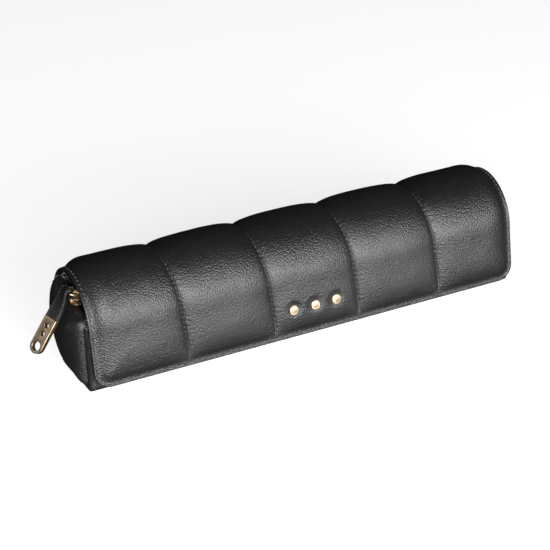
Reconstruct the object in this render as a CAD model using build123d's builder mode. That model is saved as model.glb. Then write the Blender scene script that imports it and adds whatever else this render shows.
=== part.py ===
from build123d import *
from math import atan2, cos, degrees, pi, radians, sin, sqrt
import os

# Roll-shaped leather jewellery case. Millimetres.
# X runs along the case, and the zip closes towards -X. -Y is the front. Z is up from the base.

# Wrap: one padded sleeve round the case, seen from its end
wrap_half_length = 146.0
top_radius = 30.0
top_centre_z = 40.0
back_radius = 40.0
back_centre_y = -10.0
back_centre_z = 37.0
front_face_y = -26.3
front_corner_radius = 3.0
front_top_z = 43.0

# Quilting: five channels with four seams between them
channel_width = 58.4
border_width = 4.5
seam_height = 1.0
crest_height = 3.5
leather = 1.3
lining = 1.0
flap_depth = 3.2
pad_gap = 0.4
back_pad_sweep = 50.0

# Layers of the case, counted inwards from the outer surface
board_depth = 2.7
inside_depth = 3.5
base_leather_top_z = 8.0
layer_end_gap = 0.2

# Creases that the top turns on, as angles round the top's centre
lid_crease = 12.0
flap_crease = 38.0
crease_gap = 0.5
flap_pad_start = 54.0
flap_bottom_z = 5.5
flap_corner_radius = 8.0

# Zip: its middle line and the tilt of its plane
zip_y = -6.5
zip_z = 55.0
zip_tilt = 16.0
zip_half_length = 137.5
tooth_pitch = 2.75
tooth_length = 1.3
tooth_inner = 0.65
tooth_outer = 3.2
tooth_half_height = 1.1
tape_outer = 8.5
tape_thickness = 0.5
facing_edge = 4.5
facing_thickness = 1.2
facing_half_length = 142.2
facing_hinge = (-25.0, 44.8)
facing_bend = (-17.0, 52.0)

# Slider and pull
slider_x = -143.0
slider_length = 10.5
slider_width = 8.6
slider_inner = 1.4
slider_outer = 2.4
ring_wire = 0.75
ring_fit = 0.05
ring_half_width = 5.75
ring_corner = 1.05
ring_near = (-143.5, 59.2)
ring_far = (-149.5, 61.2)
strap_width = 9.3
strap_thickness = 2.4
strap_length = 18.5
strap_lean = 34.0
tip_length = 24.0
tip_thickness = 3.2
tongue_length = 3.3
tongue_thickness = 1.6
tongue_width = 7.3

# Ends: pillow-like panels inside the wrap's rims
end_clearance = 0.2
end_board_x = 145.0
end_board_thickness = 1.5
end_lining_thickness = 0.7
end_bulge = 9.5
end_dome_radius = 75.0
end_dome_centre = (-8.0, 30.0)
end_leather = 1.2
end_top_edge = [(-20.6, 46.6), (-6.0, 50.5), (3.4, 54.4), (13.5, 60.0)]
end_rim_radius = 26.0
end_rim_start = 52.0

# Studs on the flap's middle channel
stud_pitch = 14.8
stud_z = 25.0
stud_radius = 3.0
stud_height = 1.5
post_radius = 0.9
stud_hole_radius = 1.0
washer_radius = 2.5
washer_thickness = 0.5
magnet_radius = 4.0
magnet_thickness = 1.4
pad_hole_radius = 4.4
plate_thickness = 0.8

# Inside: ring rolls on a foam bed, and two dividers
bed_section = [(-22.6, 3.9), (3.5, 3.9), (10.0, 7.6), (16.5, 13.9), (-22.6, 13.9)]
bed_span = (-141.5, -53.0)
roll_count = 7
roll_radius = 5.9
roll_pitch = 12.2
roll_start_x = -134.5
roll_ends = (-22.4, 16.4)
divider_places = [-51.0, 46.0]
divider_thickness = 2.4
divider_top_z = 34.0

wrap_axis = Axis((0, 0, top_centre_z), (1, 0, 0))
back_axis = Axis((0, back_centre_y, back_centre_z), (1, 0, 0))
os.makedirs("parts", exist_ok=True)


def save(piece, name):
    piece.part.label = name
    export_step(piece.part, f"parts/{name}.step")


def on_top(angle, depth=0.0):
    """A point of the rounded top, in the YZ plane, at a depth under the outer surface."""
    radius = top_radius - depth
    return (radius * cos(radians(angle)), top_centre_z + radius * sin(radians(angle)))


def bottom_end_y(depth):
    """Where the flat bottom meets the round back, at a depth under the outer surface."""
    return back_centre_y + sqrt((back_radius - depth) ** 2 - (back_centre_z - depth) ** 2)


# --- Outlines, each drawn inside a sketch block ---


def case_run(depth, front_z, end_angle):
    """The line of the case's wall at a depth: down the front, along the bottom, up the back."""
    front_y = front_face_y + depth
    radius = front_corner_radius - depth
    turn = degrees(atan2(back_centre_z - depth, bottom_end_y(depth) - back_centre_y))
    if radius > 0.05:
        corner_y = front_face_y + front_corner_radius
        Line((front_y, front_z), (front_y, front_corner_radius))
        CenterArc((corner_y, front_corner_radius), radius, 180, 90)
        Line((corner_y, depth), (bottom_end_y(depth), depth))
    else:
        Line((front_y, front_z), (front_y, depth))
        Line((front_y, depth), (bottom_end_y(depth), depth))
    CenterArc((back_centre_y, back_centre_z), back_radius - depth, -turn, turn)
    Line((top_radius - depth, back_centre_z), (top_radius - depth, top_centre_z))
    CenterArc((0, top_centre_z), top_radius - depth, 0, end_angle)


def case_band(outer, inner, front_z, end_angle):
    """One layer of the case's wall, between two depths."""
    with BuildSketch(Plane.YZ) as band:
        with BuildLine():
            case_run(outer, front_z, end_angle)
            Line(on_top(end_angle, outer), on_top(end_angle, inner))
            case_run(inner, front_z, end_angle)
            Line((front_face_y + inner, front_z), (front_face_y + outer, front_z))
        make_face()
    return band.sketch


def top_band(outer, inner, start, end):
    """A layer of the rounded top between two angles."""
    with BuildSketch(Plane.YZ) as band:
        with BuildLine():
            CenterArc((0, top_centre_z), top_radius - outer, start, end - start)
            Line(on_top(end, outer), on_top(end, inner))
            CenterArc((0, top_centre_z), top_radius - inner, start, end - start)
            Line(on_top(start, inner), on_top(start, outer))
        make_face()
    return band.sketch


def end_outline(plane, inset):
    """The end panel's outline, a little inside the wrap."""
    depth = inside_depth + end_clearance + inset
    lower = [(y + inset * 0.2, z - inset) for y, z in end_top_edge]
    rim = end_rim_radius - inset
    rim_point = (rim * cos(radians(end_rim_start)), top_centre_z + rim * sin(radians(end_rim_start)))
    front_y = front_face_y + depth
    turn = degrees(atan2(back_centre_z - depth, bottom_end_y(depth) - back_centre_y))
    with BuildSketch(plane) as outline:
        with BuildLine():
            Polyline((front_y, depth), (front_y, front_top_z - inset), *lower, rim_point)
            CenterArc((0, top_centre_z), rim, 0, end_rim_start)
            Line((rim, top_centre_z), (top_radius - depth, back_centre_z))
            CenterArc((back_centre_y, back_centre_z), back_radius - depth, -turn, turn)
            Line((bottom_end_y(depth), depth), (front_y, depth))
        make_face()
    return outline.sketch


def inside_outline(plane, top_z):
    """The hollow inside the case, up to a height."""
    depth = inside_depth
    reach = sqrt((back_radius - depth) ** 2 - (back_centre_z - top_z) ** 2)
    turn = degrees(atan2(back_centre_z - depth, bottom_end_y(depth) - back_centre_y))
    finish = degrees(atan2(back_centre_z - top_z, reach))
    front_y = front_face_y + depth
    with BuildSketch(plane) as outline:
        with BuildLine():
            Line((bottom_end_y(depth), depth), (front_y, depth))
            Line((front_y, depth), (front_y, top_z))
            Line((front_y, top_z), (back_centre_y + reach, top_z))
            CenterArc((back_centre_y, back_centre_z), back_radius - depth, -turn, turn - finish)
        make_face()
    return outline.sketch


def channels():
    """Each channel's left seam, crest and right seam along the case."""
    edge = wrap_half_length - border_width
    seams = [-edge] + [channel_width * (n - 1.5) for n in range(4)] + [edge]
    return [(a, (a + b) / 2, b) for a, b in zip(seams, seams[1:])]


def seam_level(x):
    """Height of the quilting over a seam, or at the flat border."""
    at_border = abs(x) > wrap_half_length - border_width - 0.1
    return 0.0 if at_border else seam_height


def quilt_outline(plane):
    """The quilted leather across its length, folded double at both borders."""
    edge = wrap_half_length - border_width
    under = lining - flap_depth
    with BuildSketch(plane) as outline:
        with BuildLine():
            for a, middle, b in channels():
                ThreePointArc((a, seam_level(a)), (middle, crest_height), (b, seam_level(b)))
                ThreePointArc(
                    (a, seam_level(a) - leather),
                    (middle, crest_height - leather),
                    (b, seam_level(b) - leather),
                )
            for side in (-1, 1):
                Polyline(
                    (side * edge, 0),
                    (side * wrap_half_length, 0),
                    (side * wrap_half_length, under),
                    (side * edge, under),
                    (side * edge, -leather),
                )
        make_face()
    return outline.sketch


def pad_outline(plane, channel, floor):
    """One channel's padding, from a flat floor up to the leather."""
    a, middle, b = channels()[channel]
    a_top = max(seam_level(a) - leather, floor)
    b_top = max(seam_level(b) - leather, floor)
    a = a + pad_gap
    b = b - pad_gap
    crest = crest_height - leather - 0.1
    with BuildSketch(plane) as outline:
        with BuildLine():
            ThreePointArc((a, a_top), (middle, crest), (b, b_top))
            Polyline((a, a_top), (a, floor), (b, floor), (b, b_top))
        make_face()
    return outline.sketch


def top_plane(angle):
    """A cross-section of the top, with X along the case and Y outwards."""
    y, z = on_top(angle)
    out = (0, cos(radians(angle)), sin(radians(angle)))
    return Plane(origin=(0, y, z), x_dir=(1, 0, 0), z_dir=(0, -out[2], out[1]))


def back_plane(angle):
    """A cross-section of the round back, an angle below its upper end."""
    out = (0, cos(radians(-angle)), sin(radians(-angle)))
    y = back_centre_y + back_radius * out[1]
    z = back_centre_z + back_radius * out[2]
    return Plane(origin=(0, y, z), x_dir=(1, 0, 0), z_dir=(0, -out[2], out[1]))


def front_plane(z):
    """A cross-section of the flap's straight front at a height."""
    return Plane(origin=(0, -top_radius, z), x_dir=(1, 0, 0), z_dir=(0, 0, -1))


def round_lower_corners():
    """Takes the flap's two lower corners off to a radius."""
    r = flap_corner_radius
    with BuildSketch(Plane.XZ.offset(top_radius - flap_depth - 2)) as corners:
        for side in (-1, 1):
            x = side * wrap_half_length
            with BuildLine():
                Line((x, flap_bottom_z), (x - side * r, flap_bottom_z))
                ThreePointArc(
                    (x - side * r, flap_bottom_z),
                    (x - side * r * (1 - sin(pi / 4)), flap_bottom_z + r * (1 - sin(pi / 4))),
                    (x, flap_bottom_z + r),
                )
                Line((x, flap_bottom_z + r), (x, flap_bottom_z))
            make_face()
    extrude(corners.sketch, amount=flap_depth + crest_height + 4, mode=Mode.SUBTRACT)


def stud_places():
    return [-stud_pitch, 0.0, stud_pitch]


def stud_seat(x):
    """Height of the flat seat under a stud, where the leather curves away."""
    half = channel_width / 2
    rise = crest_height - seam_height
    radius = (half**2 + rise**2) / (2 * rise)
    return crest_height - radius + sqrt(radius**2 - (abs(x) + stud_radius) ** 2)


def front_disc(x, z, radius, near, far):
    """A disc on the flap's front, between two heights over its outer surface."""
    with BuildSketch(Plane.XZ.offset(top_radius + near)) as disc:
        with Locations((x, z)):
            Circle(radius)
    extrude(disc.sketch, amount=far - near)


# --- Base: wrap's back and bottom, front wall, boards and linings ---


def make_base_walls():
    end_angle = lid_crease - crease_gap
    full = 2 * wrap_half_length
    inner_length = full - 2 * layer_end_gap

    with BuildPart() as base_cover:
        extrude(case_band(0, leather, base_leather_top_z, end_angle), amount=full / 2, both=True)
        revolve(back_quilt_outline(), axis=back_axis, revolution_arc=-back_pad_sweep)
    save(base_cover, "base_cover")

    with BuildPart() as front_wall:
        with BuildSketch(Plane.XZ.offset(-front_face_y)):
            with Locations((0, (base_leather_top_z + front_top_z) / 2)):
                Rectangle(full, front_top_z - base_leather_top_z)
        extrude(amount=-leather)
    save(front_wall, "front_wall")

    with BuildPart() as case_board:
        layer = case_band(leather, board_depth, front_top_z, end_angle)
        extrude(layer, amount=inner_length / 2, both=True)
        with BuildSketch(Plane.XZ.offset(-front_face_y - leather)):
            with Locations(*[(x, stud_z) for x in stud_places()]):
                Circle(magnet_radius + 0.05)
        extrude(amount=-plate_thickness, mode=Mode.SUBTRACT)
    save(case_board, "case_board")

    with BuildPart() as case_lining:
        layer = case_band(board_depth, inside_depth, front_top_z, end_angle)
        extrude(layer, amount=inner_length / 2, both=True)
    save(case_lining, "case_lining")

    with BuildPart() as keeper_plates:
        with BuildSketch(Plane.XZ.offset(-front_face_y - leather)):
            with Locations(*[(x, stud_z) for x in stud_places()]):
                Circle(magnet_radius)
        extrude(amount=-plate_thickness)
    save(keeper_plates, "keeper_plates")


def back_quilt_outline():
    """The quilted skin over the back, from the plain cover up to the leather's bumps."""
    with BuildSketch(back_plane(0)) as outline:
        with BuildLine():
            for a, middle, b in channels():
                ThreePointArc((a, seam_level(a)), (middle, crest_height), (b, seam_level(b)))
            ends = channels()
            Line((ends[-1][2], 0), (ends[0][0], 0))
        make_face()
        for a, middle, b in channels():
            with BuildLine():
                ThreePointArc((a + 2, 0), (middle, crest_height - leather), (b - 2, 0))
                Line((b - 2, 0), (a + 2, 0))
            make_face(mode=Mode.SUBTRACT)
    return outline.sketch


def make_back_pads():
    for channel in range(5):
        a, middle, b = channels()[channel]
        with BuildPart() as pad:
            with BuildSketch(back_plane(0)):
                with BuildLine():
                    ThreePointArc((a + 3, 0), (middle, crest_height - leather - 0.1), (b - 3, 0))
                    Line((b - 3, 0), (a + 3, 0))
                make_face()
            revolve(axis=back_axis, revolution_arc=-back_pad_sweep)
        save(pad, f"back_pad_{channel + 1}")


def make_end(side, name):
    """One pillow-like end: foam under a domed leather panel, on a lined board."""
    across = -side
    dome_x = side * (wrap_half_length + end_bulge - end_dome_radius)
    centre = (dome_x, *end_dome_centre)
    depth = end_bulge + 6
    board_plane = Plane.YZ.offset(side * end_board_x)

    with BuildPart() as pad:
        extrude(end_outline(board_plane, end_leather), amount=side * depth)
        with Locations(centre):
            Sphere(end_dome_radius - end_leather, mode=Mode.INTERSECT)
    save(pad, f"end_pad_{name}")

    with BuildPart() as panel:
        extrude(end_outline(board_plane, 0), amount=side * depth)
        with Locations(centre):
            Sphere(end_dome_radius, mode=Mode.INTERSECT)
        add(pad.part, mode=Mode.SUBTRACT)
    save(panel, f"end_panel_{name}")

    with BuildPart() as board:
        extrude(end_outline(board_plane, 0), amount=across * end_board_thickness)
    save(board, f"end_board_{name}")

    with BuildPart() as end_lining:
        inner_plane = board_plane.offset(across * end_board_thickness)
        extrude(end_outline(inner_plane, end_leather), amount=across * end_lining_thickness)
    save(end_lining, f"end_lining_{name}")


def make_inside():
    with BuildPart() as ring_bed:
        with BuildSketch(Plane.YZ.offset(bed_span[0])):
            Polygon(*bed_section, align=None)
        extrude(amount=bed_span[1] - bed_span[0])
    save(ring_bed, "ring_bed")

    roll_z = bed_section[-1][1] + roll_radius
    for number in range(roll_count):
        x = roll_start_x + number * roll_pitch
        with BuildPart() as roll:
            with BuildSketch(Plane.XZ.offset(-roll_ends[0])):
                with Locations((x, roll_z)):
                    Circle(roll_radius)
            extrude(amount=roll_ends[0] - roll_ends[1])
            fillet(roll.edges().filter_by(GeomType.CIRCLE), 2.0)
        save(roll, f"ring_roll_{number + 1}")

    for number, x in enumerate(divider_places):
        with BuildPart() as divider:
            outline = inside_outline(Plane.YZ.offset(x), divider_top_z)
            extrude(outline, amount=divider_thickness / 2, both=True)
        save(divider, f"divider_{number + 1}")


# --- Zip: facings, tapes and teeth on both sides, in the zip's tilted plane ---


def zip_point(across, up=0.0):
    """A point in the YZ plane, from the zip's middle line: across to the back, and up."""
    c = cos(radians(zip_tilt))
    s = sin(radians(zip_tilt))
    return (zip_y + across * c - up * s, zip_z + across * s + up * c)


def zip_strip(across_a, across_b, low, high, half_length):
    """A flat strip along the zip, between two places across it and two heights."""
    with BuildSketch(Plane.YZ) as strip:
        Polygon(
            zip_point(across_a, low),
            zip_point(across_b, low),
            zip_point(across_b, high),
            zip_point(across_a, high),
            align=None,
        )
    extrude(strip.sketch, amount=half_length, both=True)


def make_zip_side(side, name):
    """A tape and its row of teeth. The two rows stand half a pitch apart."""
    with BuildPart() as tape:
        zip_strip(
            side * tooth_outer,
            side * tape_outer,
            -tape_thickness / 2,
            tape_thickness / 2,
            zip_half_length,
        )
    save(tape, f"zip_tape_{name}")

    middle = side * (tooth_inner + tooth_outer) / 2
    y, z = zip_point(middle)
    zip_plane = Plane(
        origin=(0, y, z),
        x_dir=(1, 0, 0),
        z_dir=(0, -sin(radians(zip_tilt)), cos(radians(zip_tilt))),
    )
    cord = 0.7
    count = int(2 * zip_half_length / tooth_pitch)
    with BuildPart() as teeth:
        with BuildSketch(zip_plane.offset(-tooth_half_height)):
            with Locations((side * tooth_pitch / 4, 0)):
                with GridLocations(tooth_pitch, 0, count - 1, 1):
                    Rectangle(tooth_length, tooth_outer - tooth_inner)
        extrude(amount=2 * tooth_half_height)
        with BuildSketch(zip_plane.offset(-tooth_half_height + 0.4)):
            with Locations((0, side * (tooth_outer - tooth_inner - cord) / 2)):
                Rectangle(2 * zip_half_length, cord)
        extrude(amount=2 * tooth_half_height - 0.8)
    save(teeth, f"zip_teeth_{name}")


def make_front_facing():
    """The leather strip from the front wall's top edge to the zip, with its lining."""
    top = tape_thickness / 2 + facing_thickness
    edge = zip_point(-facing_edge, top)
    under_edge = zip_point(-facing_edge, tape_thickness / 2)
    hinge_y, hinge_z = facing_hinge
    bend_y, bend_z = facing_bend
    start = (hinge_y + 1.0, hinge_z + 0.55)

    with BuildPart() as front_facing:
        with BuildSketch(Plane.YZ):
            Polygon(
                start,
                (bend_y, bend_z + 0.75),
                edge,
                under_edge,
                zip_point(-tape_outer - 1.5, tape_thickness / 2),
                (start[0] + 0.6, start[1] - 1.2),
                align=None,
            )
        extrude(amount=facing_half_length, both=True)
    save(front_facing, "front_facing")

    with BuildPart() as front_facing_lining:
        with BuildSketch(Plane.YZ):
            Polygon(
                zip_point(-facing_edge, -tape_thickness / 2),
                zip_point(-tape_outer - 1.5, -tape_thickness / 2),
                (start[0] + 0.65, start[1] - 1.3),
                (start[0] + 1.0, start[1] - 1.9),
                zip_point(-tape_outer - 1.3, -tape_thickness / 2 - 0.6),
                zip_point(-facing_edge, -tape_thickness / 2 - 0.6),
                align=None,
            )
        extrude(amount=facing_half_length - 0.5, both=True)
    save(front_facing_lining, "front_facing_lining")


rear_outer = 3.6
rear_inner = 4.6
rear_bend = 18.0
rear_join = 52.0


def make_rear_lid():
    """The strip behind the zip, which bends down inside the spine, and the spine itself."""
    start = lid_crease + 2
    low = tape_thickness / 2
    high = low + facing_thickness

    with BuildPart() as rear_facing:
        extrude(top_band(rear_outer, rear_inner, start, rear_join), amount=facing_half_length, both=True)
        with BuildSketch(Plane.YZ):
            Polygon(
                zip_point(facing_edge, low),
                zip_point(rear_bend, low),
                on_top(rear_join, rear_inner),
                on_top(rear_join, rear_outer),
                zip_point(rear_bend, high),
                zip_point(facing_edge, high),
                align=None,
            )
        extrude(amount=facing_half_length, both=True)
    save(rear_facing, "rear_facing")

    with BuildPart() as rear_facing_lining:
        layer = top_band(rear_inner + 0.05, rear_inner + 0.75, start, rear_join - 4)
        extrude(layer, amount=facing_half_length - 0.5, both=True)
    save(rear_facing_lining, "rear_facing_lining")

    a = lid_crease + crease_gap
    b = flap_crease - crease_gap
    with BuildPart() as spine_leather:
        extrude(top_band(0, leather, a, b), amount=wrap_half_length, both=True)
    save(spine_leather, "spine_leather")

    with BuildPart() as spine_core:
        layer = top_band(leather, flap_depth, a + 1, b - 1)
        extrude(layer, amount=wrap_half_length - layer_end_gap, both=True)
    save(spine_core, "spine_core")


# --- Flap: quilted leather over the top and down the front ---


def make_flap():
    start = flap_crease + crease_gap
    border_top_z = flap_bottom_z + border_width
    pad_floor = lining - flap_depth

    with BuildPart() as flap_leather:
        extrude(top_band(0, leather, start, flap_pad_start), amount=wrap_half_length, both=True)
        over_top = quilt_outline(top_plane(flap_pad_start))
        revolve(over_top, axis=wrap_axis, revolution_arc=180 - flap_pad_start)
        extrude(quilt_outline(front_plane(top_centre_z)), amount=top_centre_z - border_top_z)
        with BuildSketch(front_plane(border_top_z)):
            with Locations((0, (lining - flap_depth) / 2)):
                Rectangle(2 * wrap_half_length, flap_depth - lining)
        extrude(amount=border_width)
        round_lower_corners()
        for x in stud_places():
            seat = stud_seat(x)
            with BuildSketch(Plane.XZ.offset(top_radius + seat)):
                with Locations((x, stud_z)):
                    Circle(stud_radius + 0.1)
            extrude(amount=crest_height, mode=Mode.SUBTRACT)
            with BuildSketch(Plane.XZ.offset(top_radius - 1)):
                with Locations((x, stud_z)):
                    Circle(stud_hole_radius)
            extrude(amount=crest_height + 2, mode=Mode.SUBTRACT)
    save(flap_leather, "flap_leather")

    for channel in range(5):
        with BuildPart() as pad:
            over_top = pad_outline(top_plane(flap_pad_start), channel, pad_floor)
            revolve(over_top, axis=wrap_axis, revolution_arc=180 - flap_pad_start)
            down_front = pad_outline(front_plane(top_centre_z), channel, pad_floor)
            extrude(down_front, amount=top_centre_z - border_top_z)
            if channel == 2:
                with BuildSketch(Plane.XZ.offset(top_radius - flap_depth)):
                    with Locations(*[(x, stud_z) for x in stud_places()]):
                        Circle(pad_hole_radius)
                extrude(amount=flap_depth + crest_height, mode=Mode.SUBTRACT)
        save(pad, f"flap_pad_{channel + 1}")

    with BuildPart() as flap_lining:
        extrude(top_band(flap_depth - lining, flap_depth, start, 180), amount=wrap_half_length, both=True)
        with BuildSketch(front_plane(top_centre_z)):
            with Locations((0, lining / 2 - flap_depth)):
                Rectangle(2 * wrap_half_length, lining)
        extrude(amount=top_centre_z - flap_bottom_z)
        round_lower_corners()
    save(flap_lining, "flap_lining")


def make_studs():
    with BuildPart() as flap_studs:
        for x in stud_places():
            seat = stud_seat(x)
            front_disc(x, stud_z, stud_radius, seat, seat + stud_height)
            front_disc(x, stud_z, post_radius, seat - leather - 1.0, seat)
        heads = flap_studs.edges().filter_by(GeomType.CIRCLE)
        rims = [e for e in heads if abs(e.radius - stud_radius) < 0.01]
        outer = [e for e in rims if -e.center().Y > top_radius + stud_seat(e.center().X) + 1]
        fillet(outer, 0.45)
    save(flap_studs, "flap_studs")

    with BuildPart() as stud_washers:
        for x in stud_places():
            inner = stud_seat(x) - leather - 1.0
            front_disc(x, stud_z, washer_radius, inner, inner + washer_thickness)
        with BuildSketch(Plane.XZ.offset(top_radius - 1)):
            with Locations(*[(x, stud_z) for x in stud_places()]):
                Circle(post_radius)
        extrude(amount=crest_height + 2, mode=Mode.SUBTRACT)
    save(stud_washers, "stud_washers")

    with BuildPart() as flap_magnets:
        with BuildSketch(Plane.XZ.offset(top_radius + lining - flap_depth)):
            with Locations(*[(x, stud_z) for x in stud_places()]):
                Circle(magnet_radius)
        extrude(amount=magnet_thickness)
    save(flap_magnets, "flap_magnets")


# --- Slider, ring and pull ---


def make_slider():
    tilted = Plane(
        origin=(slider_x, zip_y, zip_z),
        x_dir=(1, 0, 0),
        z_dir=(0, -sin(radians(zip_tilt)), cos(radians(zip_tilt))),
    )
    plate = slider_outer - slider_inner
    crown_length = 4.6
    crown_width = 3.0
    crown_top_z = ring_near[1] + ring_wire + 1.0
    web_length = 4.0
    web_width = 0.8
    with BuildPart() as slider:
        for low in (slider_inner, -slider_outer):
            with BuildSketch(tilted.offset(low)):
                SlotOverall(slider_length, slider_width)
            extrude(amount=plate)
        with BuildSketch(tilted.offset(-slider_inner)):
            with Locations((-slider_length / 4, 0)):
                RectangleRounded(web_length, web_width, 0.3)
        extrude(amount=2 * slider_inner)
        with BuildSketch(Plane.XZ.offset(-zip_y)):
            with BuildLine():
                Polyline(
                    (ring_near[0] - crown_length / 2, crown_top_z - 1.0),
                    (ring_near[0] - crown_length / 2, zip_z + slider_inner + 0.5),
                    (ring_near[0] + crown_length / 2, zip_z + slider_inner + 0.5),
                    (ring_near[0] + crown_length / 2, crown_top_z - 1.0),
                )
                ThreePointArc(
                    (ring_near[0] + crown_length / 2, crown_top_z - 1.0),
                    (ring_near[0], crown_top_z),
                    (ring_near[0] - crown_length / 2, crown_top_z - 1.0),
                )
            make_face()
            with Locations(ring_near):
                Circle(ring_wire + ring_fit, mode=Mode.SUBTRACT)
        extrude(amount=crown_width / 2, both=True)
    save(slider, "zip_slider")


def make_ring():
    """A rounded wire rectangle: one side turns in the crown, the other carries the strap."""
    near = Vector(ring_near[0], zip_y, ring_near[1])
    far = Vector(ring_far[0], zip_y, ring_far[1])
    middle = Plane(origin=(near + far) / 2, x_dir=far - near, z_dir=(far - near).cross(Vector(0, 1, 0)))
    with BuildSketch(middle) as frame:
        RectangleRounded((far - near).length, 2 * ring_half_width, ring_corner)
    path = frame.sketch.faces()[0].outer_wire()
    with BuildPart() as ring:
        with BuildSketch(Plane(origin=path @ 0, z_dir=path % 0)):
            Circle(ring_wire)
        sweep(path=path)
    save(ring, "pull_ring")


def make_pull():
    lean = radians(strap_lean)
    hang = Plane(
        origin=(ring_far[0], zip_y, ring_far[1]),
        x_dir=(-sin(lean), 0, -cos(lean)),
        z_dir=(0, 1, 0),
    )
    eye = ring_wire + ring_fit
    eye_outer = eye + 1.45
    tip_end = strap_length + tip_length

    with BuildPart() as pull_strap:
        with BuildSketch(hang):
            Circle(eye_outer)
            with Locations((strap_length / 2, 0)):
                Rectangle(strap_length, strap_thickness)
            Circle(eye, mode=Mode.SUBTRACT)
        extrude(amount=strap_width / 2, both=True)
        with BuildSketch(hang):
            with Locations((strap_length + tongue_length / 2 - 0.5, 0)):
                Rectangle(tongue_length + 1.0, tongue_thickness)
        extrude(amount=tongue_width / 2, both=True)
    save(pull_strap, "pull_strap")

    face = Plane(origin=hang.origin, x_dir=hang.x_dir, z_dir=hang.y_dir)
    with BuildPart() as pull_tip:
        with BuildSketch(face.offset(-tip_thickness / 2)):
            half = strap_width / 2
            with BuildLine():
                Line((strap_length, -half), (strap_length, half))
                Line((strap_length, half), (tip_end - half, half))
                ThreePointArc((tip_end - half, half), (tip_end, 0), (tip_end - half, -half))
                Line((tip_end - half, -half), (strap_length, -half))
            make_face()
            with Locations((strap_length + 5.5, 0), (strap_length + 11.0, 0)):
                Circle(1.5, mode=Mode.SUBTRACT)
            with Locations((strap_length + 19.3, 0)):
                Circle(2.9, mode=Mode.SUBTRACT)
        extrude(amount=tip_thickness)
        outer_face = pull_tip.faces().sort_by(Axis(face.origin, face.z_dir))[-1]
        fillet(outer_face.outer_wire().edges(), 0.4)
        with BuildSketch(hang):
            with Locations((strap_length + tongue_length / 2, 0)):
                Rectangle(tongue_length + 0.2, tongue_thickness + 0.1)
        extrude(amount=tongue_width / 2 + 0.05, both=True, mode=Mode.SUBTRACT)
    save(pull_tip, "pull_tip")


make_base_walls()
make_back_pads()
for side, name in ((-1, "left"), (1, "right")):
    make_end(side, name)
make_inside()
make_front_facing()
make_rear_lid()
for side, name in ((-1, "front"), (1, "rear")):
    make_zip_side(side, name)
make_flap()
make_studs()
make_slider()
make_ring()
make_pull()
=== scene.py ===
from math import atan2, cos, pi, radians, sin, sqrt

import bpy
import numpy as np
from mathutils import Euler, Matrix, Vector


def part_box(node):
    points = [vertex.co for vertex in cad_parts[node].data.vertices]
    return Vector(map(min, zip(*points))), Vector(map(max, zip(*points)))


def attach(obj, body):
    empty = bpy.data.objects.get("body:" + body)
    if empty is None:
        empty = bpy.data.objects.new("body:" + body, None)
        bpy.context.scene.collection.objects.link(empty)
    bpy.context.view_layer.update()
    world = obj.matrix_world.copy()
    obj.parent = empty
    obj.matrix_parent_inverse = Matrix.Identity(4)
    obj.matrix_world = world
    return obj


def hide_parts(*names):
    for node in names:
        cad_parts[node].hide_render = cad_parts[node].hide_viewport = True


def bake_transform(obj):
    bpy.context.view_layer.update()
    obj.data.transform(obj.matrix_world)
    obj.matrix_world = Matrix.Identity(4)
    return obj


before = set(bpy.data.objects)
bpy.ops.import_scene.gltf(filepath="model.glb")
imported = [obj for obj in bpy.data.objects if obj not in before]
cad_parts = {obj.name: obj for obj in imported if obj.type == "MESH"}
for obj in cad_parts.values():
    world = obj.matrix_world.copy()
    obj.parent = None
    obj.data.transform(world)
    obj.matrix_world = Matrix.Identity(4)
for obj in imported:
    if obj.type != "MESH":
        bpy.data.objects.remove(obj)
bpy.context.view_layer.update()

mm = 0.001  # sizes below are in millimetres

case = {
    "half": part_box("flap_leather")[1].x / mm,
    "topRadius": 30.0, "topZ": 40.0,
    "backRadius": 40.0, "backY": -10.0, "backZ": 37.0,
    "frontY": -26.3, "frontCorner": 3.0, "frontTop": 43.0,
    "joinAngle": 25.0, "lidCrease": 12.0, "flapCrease": 38.0,
    "zipY": -6.5, "zipZ": 55.0, "zipTilt": 16.0,
}


# picking up, placing and finishing pieces

def nothingPicked():
    bpy.ops.object.select_all(action="DESELECT")


def pickOnly(piece):
    nothingPicked()
    piece.select_set(True)
    bpy.context.view_layer.objects.active = piece


def named(name):
    piece = bpy.context.active_object
    piece.name = name
    piece.data.name = name
    return piece


def modified(piece, kind, **settings):
    pickOnly(piece)
    modifier = piece.modifiers.new(kind.lower(), kind)
    for key, value in settings.items():
        setattr(modifier, key, value)
    bpy.ops.object.modifier_apply(modifier=modifier.name)
    return piece


def edited(piece, *steps):
    # each step is an edit-mode operator with its settings
    pickOnly(piece)
    bpy.ops.object.mode_set(mode="EDIT")
    bpy.ops.mesh.select_all(action="SELECT")
    for operator, settings in steps:
        operator(**settings)
    bpy.ops.object.mode_set(mode="OBJECT")
    return piece


def smoothed(piece, angle=45):
    pickOnly(piece)
    bpy.ops.object.shade_smooth_by_angle(angle=radians(angle))
    return piece


def facingOut(piece):
    return edited(piece, (bpy.ops.mesh.normals_make_consistent, {"inside": False}))


def settled(piece):
    pickOnly(piece)
    bpy.ops.object.transform_apply(location=True, rotation=True, scale=True)
    return piece


def readPoints(piece):
    points = np.empty(len(piece.data.vertices) * 3)
    piece.data.vertices.foreach_get("co", points)
    return points.reshape(-1, 3)


def writePoints(piece, points):
    piece.data.vertices.foreach_set("co", np.asarray(points, float).ravel())
    piece.data.update()


def joined(pieces, name):
    nothingPicked()
    for piece in pieces:
        piece.select_set(True)
    bpy.context.view_layer.objects.active = pieces[0]
    if len(pieces) > 1:
        bpy.ops.object.join()
    return named(name)


def finished(piece, finish, body=None, stands=(), blend=None):
    piece.data.materials.clear()
    piece.data.materials.append(finish)
    if stands:
        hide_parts(*stands)
    if blend:
        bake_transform(piece)
    else:
        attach(piece, body)
    return piece


# shader expressions

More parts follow.
